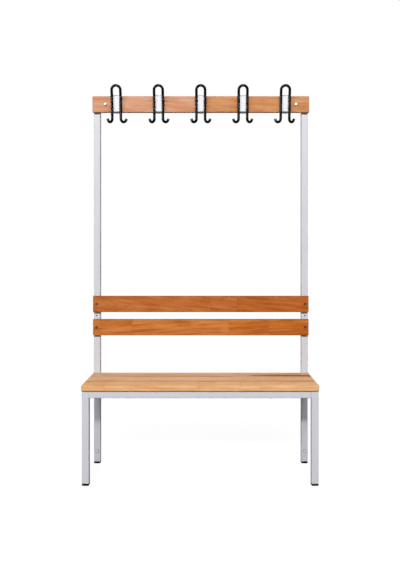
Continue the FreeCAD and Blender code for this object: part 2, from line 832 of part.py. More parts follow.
def hook_clip(index):
    """The clip's folded section is on the local YZ plane: return, leaning front plate, return."""
    body = doc.addObject("PartDesign::Body", f"hook_clip_{index}")
    section = sketch_on(body, "YZ_Plane")
    lean = "tan(hook_lean)"
    skin = "clip_thick / cos(hook_lean)"
    floor = "-clip_gap"
    roof = "(clip_height - clip_gap)"
    inner_low = "-clip_gap"
    inner_high = f"(-clip_gap - clip_height * {lean})"
    outer_low = f"(-clip_gap + clip_thick * {lean} - {skin})"
    outer_high = f"(-clip_gap - (clip_height + clip_thick) * {lean} - {skin})"
    draw_outline(section, [
        ("clip_return", f"{floor} - clip_thick"),
        ("clip_return", floor),
        (inner_low, floor),
        (inner_high, roof),
        ("clip_return", roof),
        ("clip_return", f"{roof} + clip_thick"),
        (outer_high, f"{roof} + clip_thick"),
        (outer_low, f"{floor} - clip_thick"),
    ])
    pad(body, section, "clip_width", centred=True)
    bends = (
        (inner_low, floor, "clip_bend"),
        (inner_high, roof, "clip_bend"),
        (outer_low, f"{floor} - clip_thick", "clip_bend + clip_thick"),
        (outer_high, f"{roof} + clip_thick", "clip_bend + clip_thick"),
    )
    for y, z, radius in bends:
        dress(
            body, "Fillet", "Radius", radius,
            lambda edge: level_at(edge, "Y", y) and level_at(edge, "Z", z),
        )
    for onward in (False, True):
        hole = sketch_on(body, "XY_Plane")
        draw_circle(hole, "0", "board_thick / 2", "clip_screw_dia + 2 * screw_hole_gap")
        cut(body, hole, onward)
    place(body, hook_x(index), "board_face", "board_bottom")
    as_node(body, f"hook_clip_{index}")


def clip_screws():
    """Two screws to each clip, down and up into the edges of the board."""
    master = screw(
        "clip_screw_master", "clip_screw_dia", "clip_screw_head_dia", "clip_screw_head_rise",
        "clip_gap + clip_thick + clip_screw_bite",
    )
    y = "board_face + board_thick / 2"
    skin = "clip_gap + clip_thick"
    hooks = range(1, HOOK_COUNT + 1)
    top = [(hook_x(index), y, f"board_bottom + board_width + {skin}") for index in hooks]
    under = [(hook_x(index), y, f"board_bottom - ({skin})") for index in hooks]
    repeat("clip_screws_top", master, top)
    repeat("clip_screws_under", master, under, UPSIDE_DOWN)


def build():
    for side, sign in SIDES.items():
        front_leg(side, sign)
        upright(side, sign)
        side_rail(side, sign)
        foot(f"foot_front_{side}", f"{sign} * post_x", "leg_y")
        foot(f"foot_rear_{side}", f"{sign} * post_x", "post_y")
        upright_cap(side, sign)
        board_bracket(side, sign)
    cross_rail("front_rail", "leg_y", SEAT_SCREWS["front"][2:])
    cross_rail("rear_rail", "post_y", [])
    for slat in SEAT_SLATS:
        seat_slat(slat)
    back_slat("back_slat_lower", "back_lower_z")
    back_slat("back_slat_upper", "back_upper_z")
    hook_board()
    shape = hook_shape()
    for index in range(1, HOOK_COUNT + 1):
        wire_hook(index, shape)
        hook_clip(index)
    board_fixings()
    back_slat_fixings()
    seat_screws()
    clip_screws()
    wall_hole_plugs()
    doc.recompute()


def check():
    """Stops before anything is written if a feature failed, cut nothing or is not sound."""
    for item in doc.Objects:
        if {"Invalid", "Error"} & set(item.State):
            raise RuntimeError(f"{item.Label} failed: {item.State}")
    for feature in cuts:
        base = feature.BaseFeature.Shape.Volume
        if feature.Shape.Volume > base or math.isclose(feature.Shape.Volume, base):
            raise RuntimeError(f"{feature.Label} removes nothing")
    for name, item in nodes.items():
        if item.Shape.isNull() or not item.Shape.isValid() or not item.Shape.Solids:
            raise RuntimeError(f"{name} has no sound shape")


def export():
    os.makedirs("parts", exist_ok=True)
    for name, item in nodes.items():
        item.Shape.exportStep(os.path.join("parts", f"{name}.step"))
        solids = len(item.Shape.Solids)
        print(f"{name}: {solids} solid{'s' * (solids > 1)}, {item.Shape.Volume / 1000:.1f} cm3")


build()
check()
export()
print(f"{len(nodes)} nodes")
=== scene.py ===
# %% [markdown]
# # A changing room bench
# The bench is a welded frame of square steel tube, powder coated light grey. It carries a seat
# of three beech slats, a back rest of two, and a beech board with five black wire hooks.
# The solid model already has every piece at its real size and place, in metres, with X to the
# right, -Y to the front and +Z up. This lesson gives those pieces their finishes, adds what a
# workshop leaves on them, such as weld beads and screw sockets, and lights the result.

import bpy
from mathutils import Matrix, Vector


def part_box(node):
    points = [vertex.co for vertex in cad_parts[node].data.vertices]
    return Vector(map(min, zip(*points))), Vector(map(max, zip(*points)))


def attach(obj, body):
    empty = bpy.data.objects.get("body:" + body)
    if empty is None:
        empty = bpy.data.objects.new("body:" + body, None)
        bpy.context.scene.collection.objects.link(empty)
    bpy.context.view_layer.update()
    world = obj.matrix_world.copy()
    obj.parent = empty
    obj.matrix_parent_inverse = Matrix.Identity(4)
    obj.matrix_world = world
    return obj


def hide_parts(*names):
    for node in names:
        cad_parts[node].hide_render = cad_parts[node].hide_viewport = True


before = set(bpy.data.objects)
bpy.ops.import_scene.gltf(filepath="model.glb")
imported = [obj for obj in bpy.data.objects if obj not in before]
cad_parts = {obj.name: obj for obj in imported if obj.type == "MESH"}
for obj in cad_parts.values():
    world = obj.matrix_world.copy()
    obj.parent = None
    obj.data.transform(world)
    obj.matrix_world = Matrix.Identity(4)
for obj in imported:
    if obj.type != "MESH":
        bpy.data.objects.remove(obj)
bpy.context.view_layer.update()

# %% [markdown]
# ## Camera
# The photograph was taken from the height of the back rest, level, with the bench a little left
# of the middle of the picture. A level camera keeps the posts parallel. Lens shift, not a tilt,
# moves the bench within the picture, as the movements of a technical camera do.

# %% Camera
import math

import bpy
from mathutils import Vector

PICTURE_LONG_SIDE = 570
SHIFT_ACROSS, SHIFT_UP = -6.5, -31.5  # in pixels of the picture
LENS_MM, SENSOR_MM = 44.5, 36
CAMERA_PLACE = (0.0265, -3.138, 0.98)

camera_data = bpy.data.cameras.new("camera")
camera_data.lens = LENS_MM
camera_data.sensor_width = SENSOR_MM
camera_data.shift_x = SHIFT_ACROSS / PICTURE_LONG_SIDE
camera_data.shift_y = SHIFT_UP / PICTURE_LONG_SIDE
camera = bpy.data.objects.new("camera", camera_data)
camera.location = CAMERA_PLACE
camera.rotation_euler = (math.radians(90), 0, 0)
bpy.context.scene.collection.objects.link(camera)
bpy.context.scene.camera = camera
print(f"camera {camera.location.z:.2f} m above the floor, {-camera.location.y:.2f} m in front")

# %% [markdown]
# ## Nodes and colours
# Every finish and every generated piece below is a node tree. One small function adds a node,
# sets its properties and fills or links its sockets, so that each tree reads from top to bottom.
# Colours are written as they look on a screen, as hex values. Shaders work with linear light,
# so one function turns a hex value into that.

# %% The helpers
MILLIMETRE = 0.001
# The kinds of node that come up most. The sockets of a Map Range are a value, the two ends of
# the range that it comes from, and the two ends of the range that it goes to.
MATH, VECTOR_MATH, MAP_RANGE = "ShaderNodeMath", "ShaderNodeVectorMath", "ShaderNodeMapRange"
COORDINATES, AXES = "ShaderNodeTexCoord", "ShaderNodeSeparateXYZ"
NOISE, MIX = "ShaderNodeTexNoise", "ShaderNodeMix"
SMOOTH = {"interpolation_type": "SMOOTHSTEP"}
COLOUR = {"data_type": "RGBA"}
TINT = {"data_type": "RGBA", "blend_type": "MULTIPLY"}
# A Mix node keeps its sockets for colours behind those for numbers, so they go by position.
SHARE, UNDER, OVER = 0, 6, 7


def live(node):
    """The first output that a node has in use."""
    return next(output for output in node.outputs if output.enabled)


def add(tree, kind, *inputs, **settings):
    """Adds a node with these settings. The inputs fill its sockets in order, or else by name, as
    one dictionary. A whole node as an input stands for its first output in use."""
    node = tree.nodes.new(kind)
    for name, value in settings.items():
        setattr(node, name, value)
    named = inputs[0] if inputs and isinstance(inputs[0], dict) else dict(enumerate(inputs))
    for socket, value in named.items():
        if isinstance(value, bpy.types.Node):
            value = live(value)
        if isinstance(value, bpy.types.NodeSocket):
            tree.links.new(value, node.inputs[socket])
        else:
            node.inputs[socket].default_value = value
    return node


def linear(hex_value):
    """Turns an sRGB hex value such as C8A078 into linear red, green, blue and alpha."""
    shares = [int(hex_value[i:i + 2], 16) / 255 for i in (0, 2, 4)]
    light = [s / 12.92 if s <= 0.04045 else ((s + 0.055) / 1.055) ** 2.4 for s in shares]
    return (*light, 1.0)


def per_metre(size_mm):
    """How many lengths of this size fit in a metre, which is the scale of a pattern."""
    return 1 / (size_mm * MILLIMETRE)


print("mid grey 808080 is", round(linear("808080")[0], 3), "in linear light")

# %% [markdown]
# ## Studio
# The photograph has a pure white surround and even light from the front, a little more of it
# from the left, and the shadows under the slats are nearly black. A studio does this with a
# white wall behind the bench, wide thin softboxes far off and high up in front, and darkness
# round them. Here the walls are the world. The camera sees them white. Metal and plastic see
# them dim, because black wire would turn grey among bright walls. As a source of light they
# stay low too, so that the white never comes from more light on the bench.

# %% World
WALL_LIGHT = (0.02, 0.35)  # in front and behind, as a source of light
WALL_GLOSS = (0.12, 0.2)  # in front and behind, as seen in gloss
FRONT_WALL, BACK_WALL = -0.5, 0.6  # where a direction counts as front or back, from -1 to 1

world = bpy.data.worlds.new("studio_walls")
world.use_nodes = True
bpy.context.scene.world = world
bpy.context.scene.view_settings.view_transform = "Standard"
tree = world.node_tree
tree.nodes.clear()
way = add(tree, COORDINATES).outputs["Generated"]
toward_back = add(tree, AXES, way).outputs["Y"]
light_level, gloss_level = [
    add(tree, MAP_RANGE, toward_back, FRONT_WALL, BACK_WALL, *levels, **SMOOTH)
    for levels in (WALL_LIGHT, WALL_GLOSS)
]
rays = add(tree, "ShaderNodeLightPath").outputs
straight = add(
    tree, MATH, rays["Is Camera Ray"], rays["Is Transmission Ray"], operation="MAXIMUM"
)
level = add(tree, MIX, {"Factor": rays["Is Glossy Ray"], "A": light_level, "B": gloss_level})
level = add(tree, MIX, {"Factor": straight, "A": level, "B": 1.0})
walls = add(tree, "ShaderNodeBackground", {"Color": linear("FFFFFF"), "Strength": level})
add(tree, "ShaderNodeOutputWorld", {"Surface": walls})
print("the walls light the bench at", WALL_LIGHT, "and show in gloss at", WALL_GLOSS)

# %% Softboxes
SOFTBOXES = {
    # name: (place, aimed at, width and height, power in watts)
    "softbox_left": ((-5.6, -6.2, 4.1), (0.0, 0.0, 0.9), (4.4, 0.5), 225),
    "softbox_middle": ((0.0, -8.6, 4.9), (0.0, 0.0, 0.9), (4.6, 0.5), 625),
    "softbox_right": ((5.6, -6.2, 4.0), (0.0, 0.0, 0.9), (4.4, 0.5), 120),
    "softbox_top": ((0.0, 0.6, 4.6), (0.0, 0.0, 0.4), (1.6, 1.0), 40),
    "softbox_back": ((-1.6, 8.4, 2.3), (0.0, 0.0, 0.9), (5.0, 1.6), 330),
    "gloss_strip": ((-2.8, -3.6, 1.3), (0.0, 0.0, 1.65), (0.4, 0.5), 42),
}
for name, (spot, aim, size, watts) in SOFTBOXES.items():
    lamp = bpy.data.lights.new(name, "AREA")
    lamp.shape = "RECTANGLE"
    lamp.size, lamp.size_y = size
    lamp.energy = watts
    holder = bpy.data.objects.new(name, lamp)
    holder.location = spot
    holder.rotation_euler = (Vector(aim) - Vector(spot)).to_track_quat("-Z", "Y").to_euler()
    bpy.context.scene.collection.objects.link(holder)
# The one behind fills the back of the bench. It stays out of the picture and out of the gloss.
behind = bpy.data.objects["softbox_back"]
behind.visible_camera = behind.visible_glossy = False
# The strip low on the left only draws a line of gloss along the black wires, and casts no light.
bpy.data.objects["gloss_strip"].visible_diffuse = False
print(len(SOFTBOXES), "softboxes")

# %% [markdown]
# The floor is a large pale disc. It takes the bench's shadow near the feet, and further out it
# gives way to plain white, so that it meets the white walls without a line.

# %% Floor
import bmesh

FLOOR_RADIUS = 12
FLOOR_SIDES = 96
WHITE_FROM, WHITE_AT = 1.6, 3.2  # metres from the middle
PAPER = "747476"
PAPER_GLOW = 0.88  # seen by the camera only, and it lifts the paper to just under white

floor_mesh = bpy.data.meshes.new("floor")
disc = bmesh.new()
bmesh.ops.create_circle(disc, cap_ends=True, radius=FLOOR_RADIUS, segments=FLOOR_SIDES)
disc.to_mesh(floor_mesh)
disc.free()
floor = bpy.data.objects.new("floor", floor_mesh)
bpy.context.scene.collection.objects.link(floor)

floor_paper = bpy.data.materials.new("studio_paper_white_matt")
floor_paper.use_nodes = True
tree = floor_paper.node_tree
tree.nodes.clear()
place = add(tree, COORDINATES).outputs["Object"]
from_middle = add(tree, VECTOR_MATH, place, operation="LENGTH")
far = add(tree, MAP_RANGE, from_middle, WHITE_FROM, WHITE_AT, 0.0, 1.0, **SMOOTH)
paper = add(tree, "ShaderNodeBsdfDiffuse", {"Color": linear(PAPER)})
glow = add(tree, "ShaderNodeEmission", {"Color": linear("FFFFFF"), "Strength": PAPER_GLOW})
lifted = add(tree, "ShaderNodeAddShader", paper, glow)
white = add(tree, "ShaderNodeEmission", {"Color": linear("FFFFFF"), "Strength": 1.0})
seen = add(tree, "ShaderNodeMixShader", far, lifted, white)
by_camera = add(tree, "ShaderNodeLightPath").outputs["Is Camera Ray"]
seen_or_lit = add(tree, "ShaderNodeMixShader", by_camera, paper, seen)
add(tree, "ShaderNodeOutputMaterial", {"Surface": seen_or_lit})
floor_mesh.materials.append(floor_paper)
print(f"floor disc {2 * FLOOR_RADIUS} m across")

# %% [markdown]
# ## Powder coat
# The tubes are sprayed with polyester powder and baked. The powder melts into a thick, even,
# satin skin, and a fine orange peel stays in it, with waves about 1.2 mm across. The colour
# itself hardly varies. So the finish is one grey with a low, soft bump, and the light does the
# rest. The same function serves every sprayed or dipped metal piece here.

# %% Sprayed and dipped metal
CLOUD_MM = 60
PEEL_ROUGHNESS = 0.04
PEEL_STRENGTH = 0.5


def new_finish(name):
    """Starts an empty material. Gives it, its node tree, and where a point lies on its piece."""
    finish = bpy.data.materials.new(name)
    finish.use_nodes = True
    tree = finish.node_tree
    tree.nodes.clear()
    return finish, tree, add(tree, COORDINATES).outputs["Object"]


def surface(tree, colour, pattern, rough, sockets):
    """Ends a material. Its shader takes a colour, a roughness that follows a pattern between two
    values, and these other sockets."""
    gloss = add(tree, MAP_RANGE, pattern, 0.0, 1.0, *rough)
    shader = add(
        tree, "ShaderNodeBsdfPrincipled", {"Base Color": colour, "Roughness": gloss, **sockets}
    )
    add(tree, "ShaderNodeOutputMaterial", {"Surface": shader})


def coated_metal(name, colour, shade, rough, peel_mm, peel_height_mm, specular=0.5):
    """A coat on metal: two near colours in slow clouds, under a fine orange peel."""
    finish, tree, place = new_finish(name)
    peel, cloud = [
        add(tree, NOISE, {"Vector": place, "Scale": per_metre(size), "Detail": detail})
        for size, detail in ((peel_mm, 1.0), (CLOUD_MM, 3.0))
    ]
    base = add(tree, MIX, {SHARE: cloud, UNDER: linear(colour), OVER: linear(shade)}, **COLOUR)
    bump = add(
        tree, "ShaderNodeBump",
        {"Height": peel, "Distance": peel_height_mm * MILLIMETRE, "Strength": PEEL_STRENGTH},
    )
    surface(
        tree, base, peel, (rough - PEEL_ROUGHNESS, rough + PEEL_ROUGHNESS),
        {"Normal": bump, "Specular IOR Level": specular},
    )
    return finish


POWDER = dict(colour="D3D4DA", shade="CFD0D7", rough=0.42, peel_mm=1.2, peel_height_mm=0.03)
powder_coat = coated_metal("powder_coat_light_grey_satin", **POWDER)
upright_coat = coated_metal("powder_coat_on_tube_with_bare_bore", **POWDER)
hook_dip = coated_metal(
    "dipped_black_gloss", "020203", "040405", rough=0.2, peel_mm=2.5, peel_height_mm=0.03,
    specular=0.28,
)
clip_coat = coated_metal(
    "powder_coat_near_white_satin", "FCFCFF", "F8F8FC", rough=0.38, peel_mm=1.2,
    peel_height_mm=0.02,
)
print("coated metals:", powder_coat.name, hook_dip.name, clip_coat.name)

# %% [markdown]
# Powder is thrown at the outside. It never reaches the bore of a tube, which stays bare steel
# behind the holes in the uprights, painted darker still as shade inside the tube. The clips get
# painted shade, grey bands on their folds over and under the hook board. Each is a second colour
# laid over the first where a mask of the piece's own coordinates lets it show.

# %% The bare, shaded bore and painted shade on the clips' folds
# Bare steel in the bore, darker still as painted shade inside the tube.
SHADED_BARE_STEEL = "2E2A28"
# Painted shade on the clips' folds, where the bends turn away from the light.
TOP_FOLD_SHADE = (2.5, 3.5, "9E9EA4")  # height of the band and of its soft border in mm, and colour
UNDER_FOLD_SHADE = (4.0, 4.0, "7A7A80")


def paint_over(finish, mask, hex_value):
    """Lays one more colour over a finish where the mask, from 0 to 1, lets it show."""
    tree = finish.node_tree
    skin = tree.nodes["Principled BSDF"].inputs["Base Color"]
    below = skin.links[0].from_socket if skin.is_linked else tuple(skin.default_value)
    over = add(tree, MIX, {SHARE: mask, UNDER: below, OVER: linear(hex_value)}, **COLOUR)
    tree.links.new(live(over), skin)


def beside(tree, kind, value, middle):
    """How far a number is from a middle, or a point along each axis."""
    off = add(tree, kind, value, middle, operation="SUBTRACT")
    return add(tree, kind, off, operation="ABSOLUTE")


def bare_shaded_bore(finish, tube):
    """Paints the bore of an upright tube and its mirror image as bare steel with painted shade."""
    low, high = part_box(tube)
    tree = finish.node_tree
    place = add(tree, COORDINATES).outputs["Object"]
    mirrored = add(tree, VECTOR_MATH, place, operation="ABSOLUTE")
    axis = ((low.x + high.x) / 2, (low.y + high.y) / 2, 0.0)
    off = add(tree, AXES, beside(tree, VECTOR_MATH, mirrored, axis)).outputs
    farther = add(tree, MATH, off["X"], off["Y"], operation="MAXIMUM")
    bore = (high.x - low.x) / 2 - MILLIMETRE
    paint_over(finish, add(tree, MATH, farther, bore, operation="LESS_THAN"), SHADED_BARE_STEEL)


def shade_on_folds(finish, clip):
    """Paints shade as grey bands on a clip's fold over the board and on the one under it."""
    low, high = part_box(clip)
    tree = finish.node_tree
    height = add(tree, AXES, add(tree, COORDINATES).outputs["Object"]).outputs["Z"]
    for edge, inward, (band, border, shade) in (
        (high.z, -MILLIMETRE, TOP_FOLD_SHADE), (low.z, MILLIMETRE, UNDER_FOLD_SHADE),
    ):
        begins, full = edge + inward * (band + border), edge + inward * band
        fold = add(tree, MAP_RANGE, height, begins, full, 0.0, 1.0, **SMOOTH)
        paint_over(finish, fold, shade)


bare_shaded_bore(upright_coat, "upright_right")
shade_on_folds(clip_coat, "hook_clip_1")
print("dark bores in", upright_coat.name, "and grey folds in", clip_coat.name)

# %% [markdown]
# ## Plastic, zinc and blackened screws
# The feet and the caps in the tube ends are moulded polyethylene: black, rather matt, with the
# fine spark-eroded grain of the mould. The small caps low on the posts are the same plastic in
# grey, with painted shade round their rims. The bolts are zinc plated and tumbled, so they are
# bright with faint random scuffs, and the back rest's screws have a dark oxide finish.

# %% Plastics and plated steel
GRAIN_MM, GRAIN_HEIGHT_MM = 0.5, 0.04
GRAIN_ROUGHNESS = 0.08
GRAIN_STRENGTH = 0.6
POLYETHYLENE_IOR = 1.51
SCUFF_MM = 1.5
SCUFF_ROUGHNESS = (-0.1, 0.15)
CAP_MIDDLE_MM = 3.5


def moulded_plastic(name, colour, rough, specular):
    """Plastic from a spark-eroded mould: one colour under a fine grain."""
    finish, tree, place = new_finish(name)
    grain = add(tree, NOISE, {"Vector": place, "Scale": per_metre(GRAIN_MM), "Detail": 3.0})
    bump = add(
        tree, "ShaderNodeBump",
        {"Height": grain, "Distance": GRAIN_HEIGHT_MM * MILLIMETRE, "Strength": GRAIN_STRENGTH},
    )
    surface(
        tree, linear(colour), grain, (rough - GRAIN_ROUGHNESS, rough + GRAIN_ROUGHNESS),
        {"Normal": bump, "IOR": POLYETHYLENE_IOR, "Specular IOR Level": specular},
    )
    return finish


def plated_steel(name, colour, stain, rough):
    """Plated metal, with scuffs that are a little darker and either rougher or smoother."""
    finish, tree, place = new_finish(name)
    scuff = add(tree, NOISE, {"Vector": place, "Scale": per_metre(SCUFF_MM), "Detail": 4.0})
    base = add(tree, MIX, {SHARE: scuff, UNDER: linear(colour), OVER: linear(stain)}, **COLOUR)
    surface(tree, base, scuff, [rough + more for more in SCUFF_ROUGHNESS], {"Metallic": 1.0})
    return finish


def shaded_rim(finish, caps, shade):
    """Paints shade in grey round a round cap and its mirror image, outside the middle."""
    low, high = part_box(caps)
    radius = (high.z - low.z) / 2
    centre = (high.x - radius, 0.0, low.z + radius)
    tree = finish.node_tree
    place = add(tree, COORDINATES).outputs["Object"]
    mirrored = add(tree, VECTOR_MATH, place, operation="ABSOLUTE")
    off = add(tree, VECTOR_MATH, mirrored, centre, operation="SUBTRACT")
    flat = add(tree, VECTOR_MATH, off, (1.0, 0.0, 1.0), operation="MULTIPLY")
    out = add(tree, VECTOR_MATH, flat, operation="LENGTH")
    rim = add(tree, MAP_RANGE, out, CAP_MIDDLE_MM * MILLIMETRE, radius, 0.0, 1.0, **SMOOTH)
    paint_over(finish, rim, shade)


black_plastic = moulded_plastic("moulded_polyethylene_black", "030304", rough=0.6, specular=0.15)
grey_plastic = moulded_plastic("moulded_polyethylene_grey", "DCDEE4", rough=0.5, specular=0.4)
# The grey ring is painted shade round the rim of each cap.
shaded_rim(grey_plastic, "wall_hole_plugs", "96989E")
zinc = plated_steel("zinc_plate_bright", "F4F2EC", "DEDCD6", rough=0.42)
dark_oxide = plated_steel("dark_oxide_steel", "6C6664", "443F3E", rough=0.45)
print("plastics and steels:", black_plastic.name, grey_plastic.name, zinc.name, dark_oxide.name)

# %% [markdown]
# ## Beech
# The slats are cut from beech and lacquered. A slat is a stick taken out of a tree, so its
# figure is not a picture laid on its faces. It is the tree's rings, seen where the saw went
# through them: straight lines where the face points at the tree's middle, tall arches where it
# doesn't, and curved rings on the end grain. So the material works in three dimensions. It
# measures each point's distance from the pith, the middle line of the tree, and counts rings.
#
# Beech has more to see than rings. Streaks run along the grain. Its rays show as short brown
# dashes, a few millimetres long. Short staves are glued end to end with finger joints, which
# show as a zigzag on the slat's edge and as a straight line on its face, and every stave has
# its own tone and its own rings.

# %% Finger joints and staves
FINGER_PITCH_MM = 5
FINGER_LENGTH_MM = 10
GLUE_LINE_MM = 1.4
GLUE_SHOWS = 0.35


def staves(tree, place, thickness_axis, first_tone, joints, seed):
    """Counts each point's stave from the left. Gives the stave's random colour, its tone from 0
    to 1, and how much a glue line shows at the point."""
    axes = add(tree, AXES, place).outputs
    half_pitch = FINGER_PITCH_MM / 2 * MILLIMETRE
    finger = add(tree, MATH, axes[thickness_axis], half_pitch, operation="PINGPONG")
    slope = 2 * FINGER_LENGTH_MM / FINGER_PITCH_MM
    along = add(tree, MATH, finger, slope, axes["X"], operation="MULTIPLY_ADD")
    count, tone, nearest, tone_before = seed, first_tone, 1.0, first_tone
    for joint, tone_after in joints:
        past = add(tree, MATH, along, joint, operation="GREATER_THAN")
        count = add(tree, MATH, count, past, operation="ADD")
        change = tone_after - tone_before
        tone = add(tree, MATH, past, change, tone, operation="MULTIPLY_ADD")
        gap = beside(tree, MATH, along, joint)
        nearest = add(tree, MATH, nearest, gap, operation="MINIMUM")
        tone_before = tone_after
    own = add(tree, "ShaderNodeTexWhiteNoise", {"W": count}, noise_dimensions="1D")
    glue = add(tree, MAP_RANGE, nearest, 0.0, GLUE_LINE_MM * MILLIMETRE, GLUE_SHOWS, 0.0)
    return own.outputs["Color"], tone, glue


print(f"finger joints {FINGER_LENGTH_MM} mm long at a pitch of {FINGER_PITCH_MM} mm")

# %% [markdown]
# A noise drawn out along the grain does for everything that isn't a ring. Rings are counted at
# an even 3.4 mm, but the tree is bent and tapers, and the count itself is uneven. Each ring
# starts pale, and ends in a narrow dark line of late wood.

# %% Rings and rays
RING_MM = 3.4
RINGS_IN_BELT = 4.6
BEND = (260, 90, 1.0)  # length and width in mm, and detail
BEND_REACH = (0.0, 0.03, 0.03)
UNEVEN = (400, 14, 2.0)
RING_ENDS = 0.1
RING_STOPS = ((0.55, 0.15), (0.9, 1.0))  # share of the ring, darkness
RAY_MM = (5, 1.1, 1.1)
RAY_CORE, RAY_END = 0.12, 0.3  # shares of the space between rays


def stretched(tree, place, along_mm, across_mm, detail, seed):
    """A noise drawn out along the grain, with features about this long and this wide."""
    scales = [per_metre(size) for size in (along_mm, across_mm, across_mm)]
    grains = add(tree, VECTOR_MATH, place, scales, operation="MULTIPLY")
    return add(
        tree, NOISE, {"Vector": grains, "W": seed, "Scale": 1.0, "Detail": detail},
        noise_dimensions="4D",
    )


def shifted(tree, place, way, reach):
    """Moves each point by a colour's offset from mid grey, up to a reach along X, Y and Z."""
    offset = add(tree, VECTOR_MATH, way, (0.5, 0.5, 0.5), operation="SUBTRACT")
    return add(tree, VECTOR_MATH, offset, reach, place, operation="MULTIPLY_ADD")


def ring_lines(tree, place, pith, taper, seed):
    """Counts rings out from the pith. Gives each ring's dark late wood, and slow dark belts
    where several rings lie close together, both from 0 to 1."""
    wander = stretched(tree, place, *BEND, seed)
    bent = shifted(tree, place, wander.outputs["Color"], BEND_REACH)
    out = add(tree, VECTOR_MATH, bent, (0.0, *pith), operation="SUBTRACT")
    flat = add(tree, VECTOR_MATH, out, (0.0, 1.0, 1.0), operation="MULTIPLY")
    radius = add(tree, VECTOR_MATH, flat, operation="LENGTH")
    x = add(tree, AXES, place).outputs["X"]
    cone = add(tree, MATH, x, taper, radius, operation="MULTIPLY_ADD")
    uneven = stretched(tree, place, *UNEVEN, seed + 1)
    count = add(tree, MATH, cone, per_metre(RING_MM), uneven, operation="MULTIPLY_ADD")
    share = add(tree, MATH, count, operation="FRACT")
    late_wood = add(tree, "ShaderNodeValToRGB", share)
    late_wood.color_ramp.interpolation = "EASE"
    stops = late_wood.color_ramp.elements
    for stop in stops:
        stop.color = (*[RING_ENDS] * 3, 1.0)
    for position, darkness in RING_STOPS:
        stops.new(position).color = (*[darkness] * 3, 1.0)
    wave = add(tree, MATH, count, 2 * math.pi / RINGS_IN_BELT, operation="MULTIPLY")
    wave = add(tree, MATH, wave, operation="SINE")
    return late_wood, add(tree, MATH, wave, 0.5, 0.5, operation="MULTIPLY_ADD")


def ray_dashes(tree, place):
    """Short brown dashes along the grain, 1 inside a dash and 0 elsewhere."""
    scales = [per_metre(size) for size in RAY_MM]
    cells = add(tree, VECTOR_MATH, place, scales, operation="MULTIPLY")
    spots = add(tree, "ShaderNodeTexVoronoi", {"Vector": cells, "Scale": 1.0})
    return add(tree, MAP_RANGE, spots, RAY_CORE, RAY_END, 1.0, 0.0)


print(f"rings {RING_MM} mm apart, rays {RAY_MM[0]} mm long")

# %% [markdown]
# The rounded edges of a slat get painted shade, a little darker than its faces, and so do the
# faces where two slats of the seat face each other. One seat slat has a streak of red heartwood
# at its right end, frayed by the wood's own fibres.

# %% Painted shade at edges and gaps, and heartwood
# Painted shade at the rounded edges of a slat.
EDGE_MM, EDGE_SHADE = 4.5, 0.55
# Painted shade, in a brown tint, on the faces between seat slats.
GAP_SHADE_MM, GAP_SHADE, GAP_SHADE_TONE = 9, 0.55, "8C6440"
HEART = "7A3206"
HEART_FRAY = 1.7
HEART_BORDER = (-0.3, 0.2)  # shares of the half width
HEART_FIBRES = (0.35, 0.65)
HEART_FAINTEST = 0.75


def shade_near_edge(tree, place, low, high):
    """How much painted shade shows at the edges of a slat's box. A point of the surface lies on
    one face already, so the middle one of its three distances says how far the edge is."""
    aside = beside(tree, VECTOR_MATH, place, (low + high) / 2)
    off = add(tree, VECTOR_MATH, (high - low) / 2, aside, operation="SUBTRACT")
    off = add(tree, AXES, off).outputs
    small = add(tree, MATH, off["X"], off["Y"], operation="MINIMUM")
    large = add(tree, MATH, off["X"], off["Y"], operation="MAXIMUM")
    large = add(tree, MATH, large, off["Z"], operation="MINIMUM")
    middle = add(tree, MATH, small, large, operation="MAXIMUM")
    return add(tree, MAP_RANGE, middle, 0.0, EDGE_MM * MILLIMETRE, EDGE_SHADE, 0.0, **SMOOTH)


def shade_near_gap(tree, place, face):
    """How much painted shade shows near a slat's face, at this y, that looks at another slat."""
    off = beside(tree, MATH, add(tree, AXES, place).outputs["Y"], face)
    return add(tree, MAP_RANGE, off, 0.0, GAP_SHADE_MM * MILLIMETRE, GAP_SHADE, 0.0, **SMOOTH)


def heart_streak(tree, place, fibre, streak, begins, full, y, half_width):
    """How much the heartwood shows. It lies along X at this y, begins at one x and is full at
    another, the streaks of the figure fray its border, and the fibres show through it."""
    here = add(tree, AXES, place).outputs
    begun = add(tree, MAP_RANGE, here["X"], begins, full, 0.0, 1.0, **SMOOTH)
    aside = beside(tree, MATH, here["Y"], y)
    reach = add(tree, MATH, streak, begun, operation="MULTIPLY")
    frayed = add(tree, MATH, reach, -HEART_FRAY * half_width, aside, operation="MULTIPLY_ADD")
    border = [share * half_width for share in HEART_BORDER]
    inside = add(tree, MAP_RANGE, frayed, *border, 1.0, 0.0, **SMOOTH)
    fibres = add(tree, MAP_RANGE, fibre, *HEART_FIBRES, HEART_FAINTEST, 1.0, **SMOOTH)
    return add(tree, MATH, inside, fibres, operation="MULTIPLY")


# What fades over these lengths is painted shade, at the edges and between the seat slats.
print(f"edges fade over {EDGE_MM} mm, dust over {GAP_SHADE_MM} mm")

# %% [markdown]
# The finish adds these layers up to one depth between a pale and a dark tone of the wood. Then
# come the stave's own tone, rays, glue, and painted shade at the edges and in the seat's gaps.
# The lacquer is thin and satin, a little rougher on late wood, with the fibres just to be felt.

# %% The beech finish
LAYERS = {
    # name: (length and width in mm, and detail), the part of the noise that counts, its depth
    "fibre": ((90, 3.2, 3.0), (0.30, 0.70), 0.24),
    "streak": ((150, 11, 2.0), (0.38, 0.62), 0.34),
    "cloud": ((130, 45, 2.0), (0.40, 0.60), 0.20),
}
RING_DEPTH, BELT_DEPTH = 0.22, 0.22
STAVE_SHIFT = (0.6, 0.04, 0.03)
STAVE_TONE, RAY, GLUE = "F0DBA6", "6E3D1E", "5A2E14"
RAY_SHOWS = 0.22
RAY_SINKS = -0.5
SATIN = (0.46, 0.56)
FIBRE_HEIGHT_MM, FIBRE_STRENGTH = 0.05, 0.6
LACQUER_SPECULAR = 0.1


